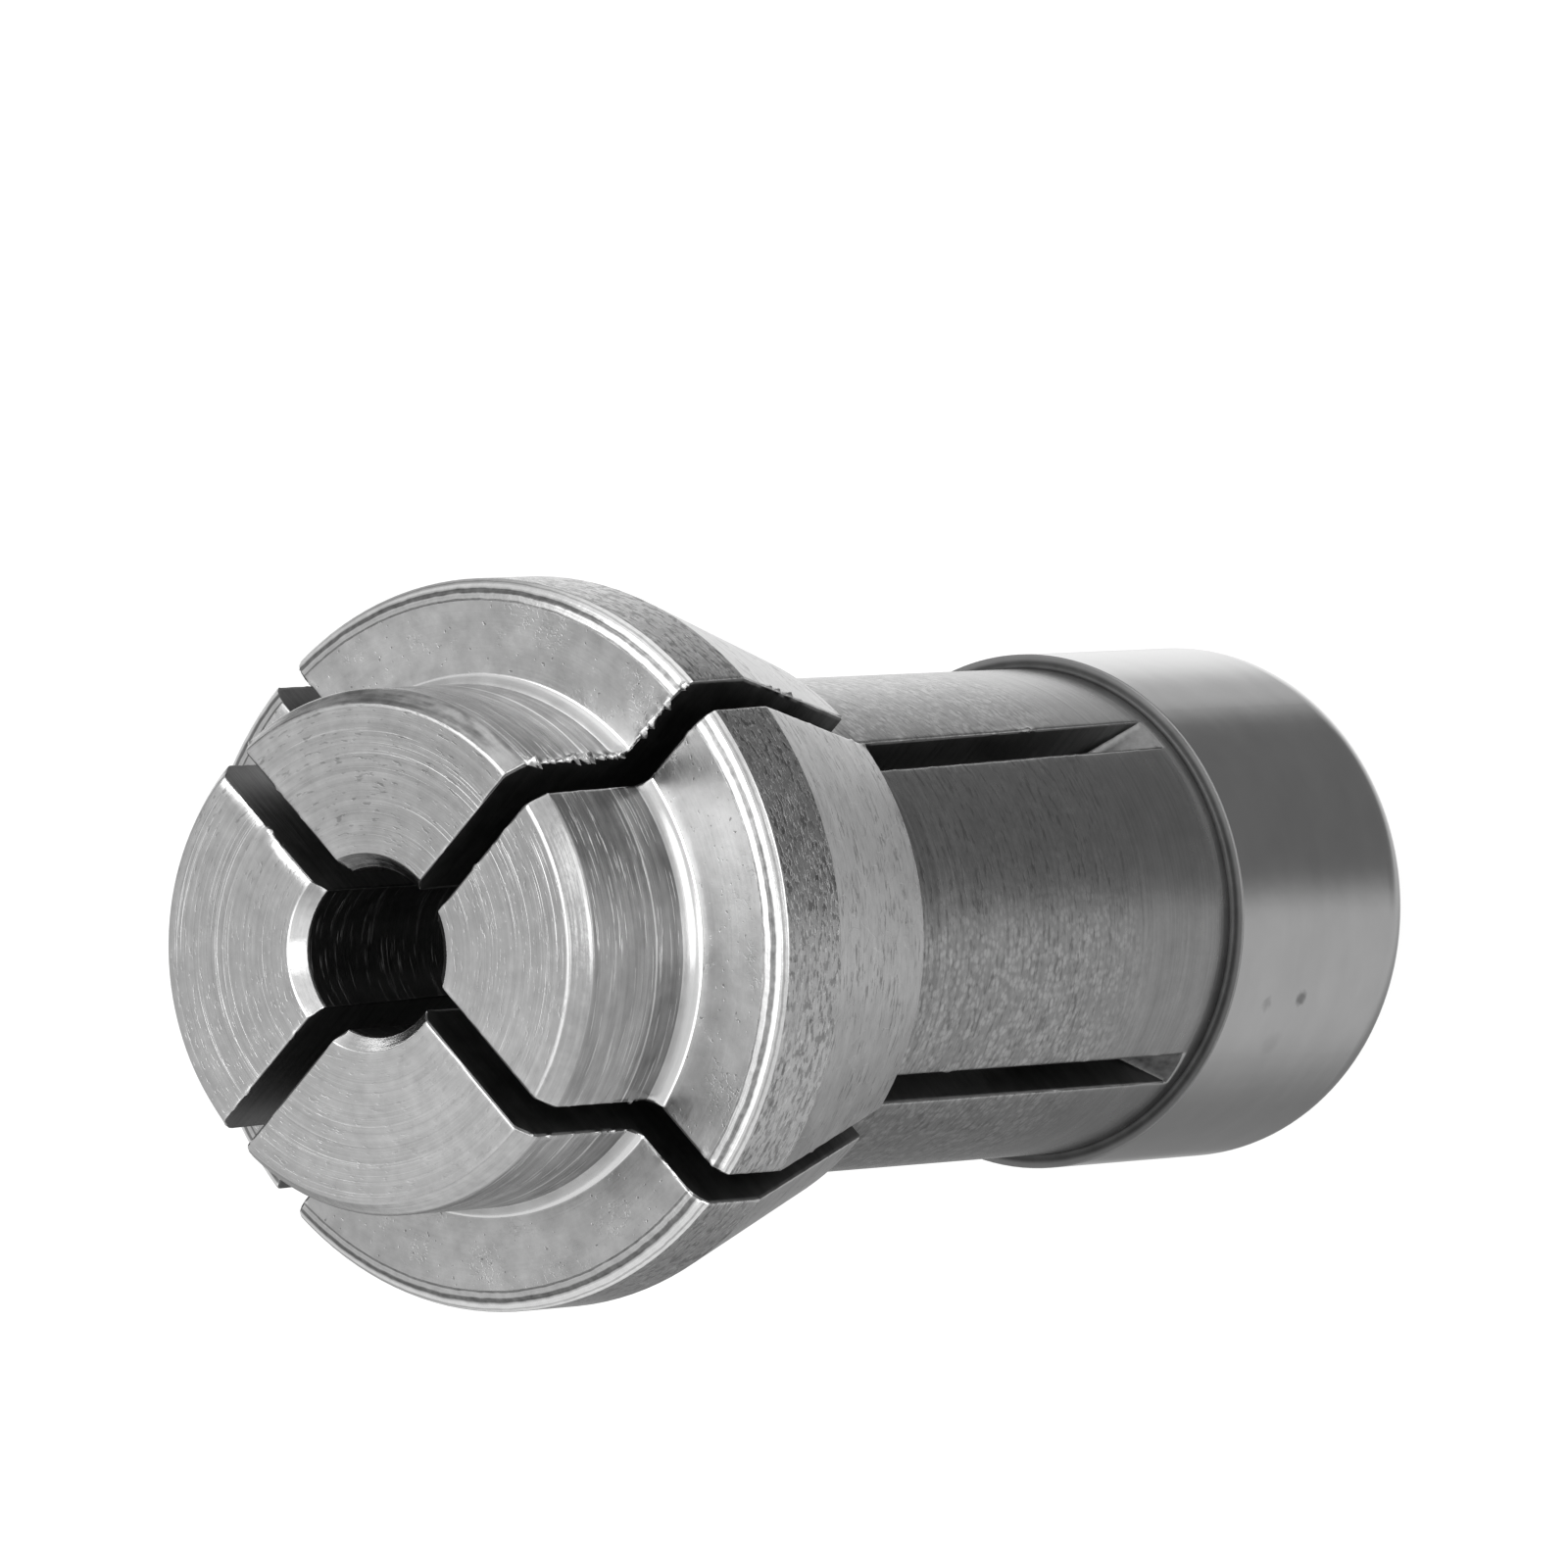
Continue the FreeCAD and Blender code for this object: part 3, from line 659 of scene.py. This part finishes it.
def neck():
    n = Nodes("neck_steel")
    fine, broad, deep = n.lines(0.04, 3), n.lines(0.20, 2.4, 2.0), n.ramp(n.lines(0.055, 1.3, 7.0), 0.60, 0.68)
    mottle = n.grain(0.40, 1.0, 4)
    # painted shade on the neck next to the head face, and a painted highlight along a thin line round the neck
    neck_painted_shade = n.ramp(n.z, HEAD_Z + 0.9, HEAD_Z + 1.7, -0.07, 0.0)
    neck_painted_highlight = n.ramp(n.math("ABSOLUTE", n.math("ADD", n.math("SUBTRACT", n.z, HEAD_Z + 1.12), n.about((n.grain(2.5, 3.0, 1), 0.10)))), 0.014, 0.036, 0.45, 0.0)
    colour = n.math("ADD", n.about((fine, 0.12), (broad, 0.42), (mottle, 0.22)), 0.435)
    colour = n.math("ADD", n.math("ADD", colour, neck_painted_shade), n.total((deep, 0.22), (neck_painted_highlight, 1.0)))
    # the feed marks lean forward, which turns the gloss towards the nose
    rough = n.math("ADD", n.about((mottle, 0.12), (broad, 0.08)), 0.22)
    return n.finish(colour, rough, n.total((fine, 0.0025), (broad, 0.0060), (deep, 0.0040), (mottle, 0.004), (n.z, -0.16)), 0.35)


def head_face():
    n = Nodes("head_face_steel")
    fine, broad, mottle = n.lines(0.04, 8), n.lines(0.25, 5, 2.0), n.grain(0.50, 4.0, 5, 0.62)
    nick = n.ramp(n.grain(0.10, 30.0, 1), 0.70, 0.76)
    worm = n.ramp(n.math("ABSOLUTE", n.math("SUBTRACT", n.grain(0.16, 13.0, 2), 0.5)), 0.0, 0.035, 1.0, 0.0)
    worm = n.math("MULTIPLY", worm, n.ramp(n.grain(0.9, 17.0, 2), 0.5, 0.65))
    colour = n.math("ADD", n.about((fine, 0.06), (broad, 0.08), (mottle, 0.38)), 0.528)
    colour = n.math("ADD", colour, n.total((nick, -0.22), (worm, -0.07)))
    rough = n.math("ADD", n.about((mottle, 0.14)), 0.30)
    return n.finish(colour, rough, n.total((fine, 0.0016), (broad, 0.0030), (mottle, 0.0070), (nick, -0.004), (worm, -0.002)), 0.35)


def land():
    n = Nodes("land_steel")
    worms = n.ramp(n.lines(0.085, 0.20, 3.0, 3), 0.50, 0.58)
    dash = n.ramp(n.lines(0.06, 0.34, 13.0, 2), 0.58, 0.65)
    light = n.ramp(n.lines(0.075, 0.18, 23.0, 2), 0.60, 0.67)
    # the top jaw has more pits, and is painted darker as painted shade
    top_pits_and_shade = n.ramp(n.math("SUBTRACT", n.y, n.x), 4.0, 6.0)
    where = n.math("MAXIMUM", n.ramp(n.lines(0.55, 1.4, 31.0, 1), 0.34, 0.58, 0.45, 1.0), top_pits_and_shade)
    pits = n.math("MULTIPLY", worms, where)
    fine, mottle = n.lines(0.05, 2), n.grain(0.25, 8.0, 4)
    colour = n.math("ADD", n.about((mottle, 0.30), (fine, 0.12)), 0.555)
    # the +X-Y side is painted lighter as painted light
    colour = n.math("ADD", colour, n.total((pits, -0.25), (dash, -0.15), (light, 0.15), (top_pits_and_shade, -0.07), (n.ramp(n.math("SUBTRACT", n.x, n.y), 1.0, 4.0), 0.05)))
    rough = n.math("ADD", n.about((mottle, 0.12)), 0.23)
    return n.finish(colour, rough, n.total((pits, -0.0040), (dash, -0.0025), (light, 0.0025), (fine, 0.0010), (mottle, 0.002)), 0.15)


def taper():
    n = Nodes("taper_steel")
    fleck = n.ramp(n.lines(0.085, 0.32, 3.0, 2), 0.565, 0.610)
    patch = n.ramp(n.grain(0.9, 12.0, 2), 0.42, 0.62, 0.15, 1.0)
    flecks = n.math("MULTIPLY", fleck, patch)
    fine, broad, mottle = n.lines(0.05, 2.0), n.lines(0.2, 1.6, 5.0), n.grain(0.7, 2.0, 5, 0.65)
    scratch = n.ramp(n.math("ABSOLUTE", n.math("SUBTRACT", n.grain(0.8, 19.0, 1), 0.5)), 0.0, 0.008, 1.0, 0.0)
    colour = n.math("ADD", n.about((fine, 0.12), (broad, 0.18), (mottle, 0.50)), 0.645)
    colour = n.math("ADD", colour, n.total((flecks, -0.30), (scratch, 0.10)))
    rough = n.math("ADD", n.about((mottle, 0.16)), 0.30)
    return n.finish(colour, rough, n.total((flecks, -0.0040), (fine, 0.0020), (broad, 0.0040), (mottle, 0.0110), (scratch, 0.002)), 0.25)


def body():
    n = Nodes("body_steel")
    # the grained skin fades out before the collar
    fade = n.ramp(n.z, 8.2, 10.6, 0.10, 1.0)
    cell = n.cells(n.stretched(0.115, 0.14, 3.0), "F1", 0.85)
    flake = n.ramp(cell, 0.30, 0.72, 1.0, 0.0)
    some = n.ramp(n.grain(0.30, 15.0, 3), 0.38, 0.60, 0.25, 1.0)
    side = n.math("SUBTRACT", n.x, n.y)
    # painted shade: darker towards the +X-Y side
    lower = n.ramp(side, -1.5, 1.5, 0.0, -0.045)
    where = n.math("MAXIMUM", n.ramp(side, -1.6, 1.0, 0.28, 1.0), n.ramp(side, -4.6, -3.4, 1.0, 0.0))
    flake = n.math("MULTIPLY", n.math("MULTIPLY", flake, some), where)
    dash = n.ramp(n.lines(0.085, 0.36, 11.0, 2), 0.55, 0.63)
    groove = n.lines(0.09, 5.0, 2.0, 1)
    fine, mottle = n.lines(0.04, 1.8, 5.0), n.grain(0.6, 6.0, 4)
    # painted shadow on the body just behind the taper's lip
    behind = n.ramp(n.z, LIP_Z - 1.8, LIP_Z - 0.1, 0.0, 1.0)
    turned = n.ramp(n.z, LIP_Z - 3.4, LIP_Z - 1.0, 0.35, 1.0)
    colour = n.math("ADD", n.about((fine, 0.08), (mottle, 0.12)), 0.365)
    colour = n.math("ADD", colour, n.math("MULTIPLY", turned, n.about((groove, 0.36))))
    colour = n.math("ADD", colour, n.math("MULTIPLY", fade, n.total((flake, 0.17), (dash, -0.10))))
    colour = n.math("ADD", n.math("ADD", colour, lower), n.total((behind, -0.05)))
    rough = n.math("ADD", n.about((mottle, 0.10)), 0.26)
    grain = n.math("MULTIPLY", fade, n.total((flake, 0.0012), (dash, -0.0012)))
    return n.finish(colour, rough, n.math("ADD", grain, n.total((fine, 0.0010), (mottle, 0.004), (groove, 0.0025))), 0.20)


def collar():
    n = Nodes("collar_steel")
    fine, broad, mottle = n.lines(0.05, 6), n.lines(0.6, 4, 3.0, 1), n.grain(1.1, 2.0, 3)
    colour = n.math("ADD", n.about((fine, 0.015), (broad, 0.04), (mottle, 0.10)), 0.525)
    for centre, size, depth in SPOTS:
        gap = n.new("ShaderNodeVectorMath", operation="DISTANCE")
        n.link(n.mm, gap.inputs[0])
        gap.inputs[1].default_value = centre
        near = n.math("ADD", gap.outputs["Value"], n.about((n.grain(0.12, 7.0), 0.20)))
        colour = n.math("ADD", colour, n.ramp(near, size * 0.2, size, -depth, 0.0))
    rough = n.math("ADD", n.about((mottle, 0.06)), 0.175)
    return n.finish(colour, rough, n.total((fine, 0.0003), (broad, 0.0020), (mottle, 0.0040)), 0.15)


def step_steel():
    n = Nodes("step_steel")
    # painted shade: dark in the corner behind the slits, as light as the collar towards its edge
    radius = n.math("SQRT", n.math("ADD", n.math("MULTIPLY", n.x, n.x), n.math("MULTIPLY", n.y, n.y)))
    mottle = n.grain(0.3, 2.0, 3)
    colour = n.math("ADD", n.about((mottle, 0.06)), n.ramp(radius, 4.61, 4.70, 0.085, 0.25))
    return n.finish(colour, n.math("ADD", n.about((mottle, 0.1)), 0.5), n.total((mottle, 0.002)), 0.0)


def bore():
    n = Nodes("bore_steel")
    fine, deep, mottle = n.lines(0.05, 2.0), n.ramp(n.lines(0.07, 1.0, 5.0), 0.58, 0.68), n.grain(0.3, 2.0, 3)
    # the dark base colour is painted shade inside the bore
    colour = n.math("ADD", n.about((fine, 0.08), (mottle, 0.08)), 0.20)
    colour = n.math("ADD", colour, n.total((deep, 0.14)))
    return n.finish(colour, n.math("ADD", n.about((mottle, 0.12)), 0.36), n.total((fine, 0.004), (deep, 0.006), (mottle, 0.003)), 0.3)


def slit():
    n = Nodes("slit_steel")
    # long scratches left by the saw, across the wall
    v = n.new("ShaderNodeCombineXYZ")
    n.link(n.math("MULTIPLY", n.x, 0.6), v.inputs[0])
    n.link(n.math("MULTIPLY", n.y, 0.6), v.inputs[1])
    n.link(n.math("MULTIPLY", n.z, 7.0), v.inputs[2])
    marks, mottle = n.noise(v.outputs[0], 3, 0.6), n.grain(0.5, 2.0, 4)
    # painted shade: the walls' dark base colour stands for the shade inside the slits, painted lighter towards their
    # outer edge
    slit_painted_light = n.ramp(n.edge, -0.9, 0.0, 0.0, 1.0)
    colour = n.math("ADD", n.about((marks, 0.10), (mottle, 0.10)), 0.11)
    colour = n.math("ADD", colour, n.total((slit_painted_light, 0.04)))
    return n.finish(colour, n.math("ADD", n.about((mottle, 0.2)), 0.45), n.total((marks, 0.008), (mottle, 0.006)), 0.0)


def runout():
    n = Nodes("runout_steel")
    marks, mottle = n.grain(0.12, 3.0, 2), n.grain(0.4, 2.0, 3)
    # painted shade: the slits' floors have a dark base, painted lighter in the +Y slit than in the +X slit
    base = n.ramp(n.math("SUBTRACT", n.y, n.x), -2.0, 2.0, 0.12, 0.27)
    colour = n.math("ADD", n.about((marks, 0.12), (mottle, 0.16)), base)
    return n.finish(colour, n.math("ADD", n.about((mottle, 0.2)), 0.42), n.total((marks, 0.004), (mottle, 0.006)), 0.0)


# lines of painted shade on the head's broken edge: where along the profile, width, depth
PAINTED_STEP_SHADE = ((7.83, 0.030, 0.35), (8.00, 0.065, 0.42), (8.205, 0.028, 0.30))
SPOTS = (((4.332, 1.974, 3.76), 0.22, 0.28), ((4.36, 1.92, 4.86), 0.20, 0.12), ((4.62, 1.10, 4.2), 0.35, 0.05))
mats = dict(zip(MATERIALS, (nose_face(), bevel(), neck(), head_face(), land(), taper(), body(), collar(), bore(), slit(), step_steel(), runout(), root(), rim())))

mesh, info = build_collet()
skin = bpy.data.objects.new("collet_steel", mesh)
bpy.context.scene.collection.objects.link(skin)
for key in MATERIALS:
    mesh.materials.append(mats[key])
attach(skin, "root")
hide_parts("collet")
print("triangles", sum(len(p.vertices) - 2 for p in mesh.polygons), "rows", info["rows"])

# ------------------------------------------------------------------ floor
bpy.ops.mesh.primitive_plane_add(size=1.2, location=(0, 0, 0))
floor = bpy.context.object
floor.name = "floor"
fm = bpy.data.materials.new("floor_pale")
fm.use_nodes = True
fb = fm.node_tree.nodes["Principled BSDF"]
fb.inputs["Base Color"].default_value = (0.16, 0.16, 0.16, 1)
fb.inputs["Roughness"].default_value = 0.9
fb.inputs["Specular IOR Level"].default_value = 0.0
fb.inputs["Emission Color"].default_value = (1, 1, 1, 1)
fb.inputs["Emission Strength"].default_value = 0.93
floor.data.materials.append(fm)
floor.visible_glossy = False
floor.visible_diffuse = False

# ------------------------------------------------------------------ camera
YAW, PITCH = 0.6198, -0.0298
NOSE_AT = np.array([-1.5772, 0.6389, 66.69]) * 4.65
axis = np.array([math.sin(YAW) * math.cos(PITCH), math.sin(PITCH), math.cos(YAW) * math.cos(PITCH)])
right = np.cross([0, 1, 0], axis)
right /= np.linalg.norm(right)
below = np.cross(axis, right)
basis = np.stack([(right + below) / math.sqrt(2), (right - below) / math.sqrt(2), -axis])
eye = basis @ (-NOSE_AT) + np.array([0, 0, LENGTH])
to_world = lambda v: basis @ np.asarray(v, float)
cam_data = bpy.data.cameras.new("camera")
cam_data.lens = 405.0
cam_data.sensor_width = 36.0
cam_data.clip_start = 0.01
cam_data.clip_end = 10.0
camera = bpy.data.objects.new("camera", cam_data)
bpy.context.scene.collection.objects.link(camera)
cols = [to_world((1, 0, 0)), to_world((0, -1, 0)), to_world((0, 0, -1)), eye * MM]
camera.matrix_world = Matrix([[float(cols[c][k]) for c in range(4)] for k in range(3)] + [[0, 0, 0, 1]])
bpy.context.scene.camera = camera

# ------------------------------------------------------------------ light: a soft tent, with darker and brighter panels around the object
world = bpy.data.worlds.new("tent")
bpy.context.scene.world = world
world.use_nodes = True
wt = world.node_tree
wt.nodes.clear()
out = wt.nodes.new("ShaderNodeOutputWorld")
coord = wt.nodes.new("ShaderNodeTexCoord")
TENT = 0.62
# direction as seen in the picture (right, up, away), inner and outer angle of the soft edge in degrees, what it adds
PANELS = [
    ((0.764, 0.458, 0.455), 20, 31, -0.42),
    ((0.15, -0.45, 0.88), 12, 40, -0.36),
    ((-0.35, 0.65, 0.67), 8, 34, -0.26),
    ((0.0, 0.22, 0.975), 9, 26, 0.52),
    ((-0.52, 0.42, -0.74), 8, 34, 2.70),
    ((-0.38, -0.26, -0.89), 8, 34, 0.90),
    ((0.84, 0.10, -0.53), 7, 16, 1.60),
    ((0.72, 0.50, -0.47), 8, 18, 1.10),
    ((0.31, 0.02, -0.95), 5, 14, 1.30),
    ((0.12, 0.98, -0.14), 8, 34, 0.28),
    ((-0.05, -0.98, 0.10), 20, 60, 0.10),
]
total = None
for direction, inner, outer, gain in PANELS:
    d = to_world((direction[0], -direction[1], direction[2]))
    d = d / np.linalg.norm(d)
    dot = wt.nodes.new("ShaderNodeVectorMath")
    dot.operation = "DOT_PRODUCT"
    wt.links.new(coord.outputs["Generated"], dot.inputs[0])
    dot.inputs[1].default_value = [float(x) for x in d]
    ramp = wt.nodes.new("ShaderNodeMapRange")
    ramp.interpolation_type = "SMOOTHSTEP"
    wt.links.new(dot.outputs["Value"], ramp.inputs[0])
    for k, v in zip((1, 2, 3, 4), (math.cos(math.radians(outer)), math.cos(math.radians(inner)), 0.0, gain)):
        ramp.inputs[k].default_value = v
    plus = wt.nodes.new("ShaderNodeMath")
    plus.operation = "ADD"
    wt.links.new(ramp.outputs[0], plus.inputs[0])
    if total is None:
        plus.inputs[1].default_value = TENT
    else:
        wt.links.new(total, plus.inputs[1])
    total = plus.outputs[0]
low = wt.nodes.new("ShaderNodeMath")
low.operation = "MAXIMUM"
wt.links.new(total, low.inputs[0])
low.inputs[1].default_value = 0.02
tent = wt.nodes.new("ShaderNodeBackground")
wt.links.new(low.outputs[0], tent.inputs["Color"])
plain = wt.nodes.new("ShaderNodeBackground")
plain.inputs["Color"].default_value = (1, 1, 1, 1)
path = wt.nodes.new("ShaderNodeLightPath")
pick = wt.nodes.new("ShaderNodeMixShader")
wt.links.new(path.outputs["Is Camera Ray"], pick.inputs[0])
wt.links.new(tent.outputs[0], pick.inputs[1])
wt.links.new(plain.outputs[0], pick.inputs[2])
wt.links.new(pick.outputs[0], out.inputs["Surface"])

scene = bpy.context.scene
scene.view_settings.view_transform = "Standard"
scene.view_settings.look = "None"
scene.view_settings.exposure = 0.0
scene.view_settings.gamma = 1.0
